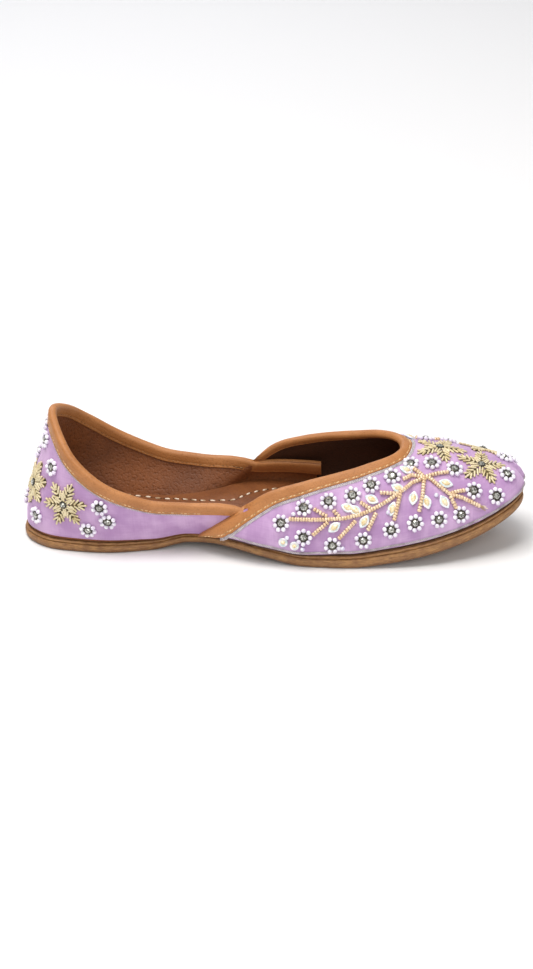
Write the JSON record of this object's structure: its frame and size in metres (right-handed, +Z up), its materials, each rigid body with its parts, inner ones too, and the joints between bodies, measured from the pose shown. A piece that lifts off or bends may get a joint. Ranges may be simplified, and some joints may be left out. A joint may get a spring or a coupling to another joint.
{
  "type": "mojari shoe",
  "caption": "Flat slip-on mojari shoe: leather sole, low cloth-covered quarter and a vamp whose wings lap over it, all edges bound with tan leather.",
  "frame": {"origin": "on the floor plane, under the middle of the shoe's length and width", "axes": "+X to the toe, +Y to the wearer's left, +Z up"},
  "size_m": [0.2518, 0.0836, 0.068],
  "materials": {
    "sole_leather": "matte, vegetable-tanned, edge burnished",
    "lilac_cloth": "matte woven cloth over leather",
    "brown_lining": "matte grained leather",
    "tan_leather": "smooth, satin"
  },
  "bodies": {
    "root": {"outsole": "sole_leather", "upper": "lilac_cloth", "insole": "brown_lining", "quarter_binding": "tan_leather", "vamp_binding": "tan_leather", "quarter_end_left": "tan_leather", "quarter_end_right": "tan_leather"}
  },
  "joints": []
}
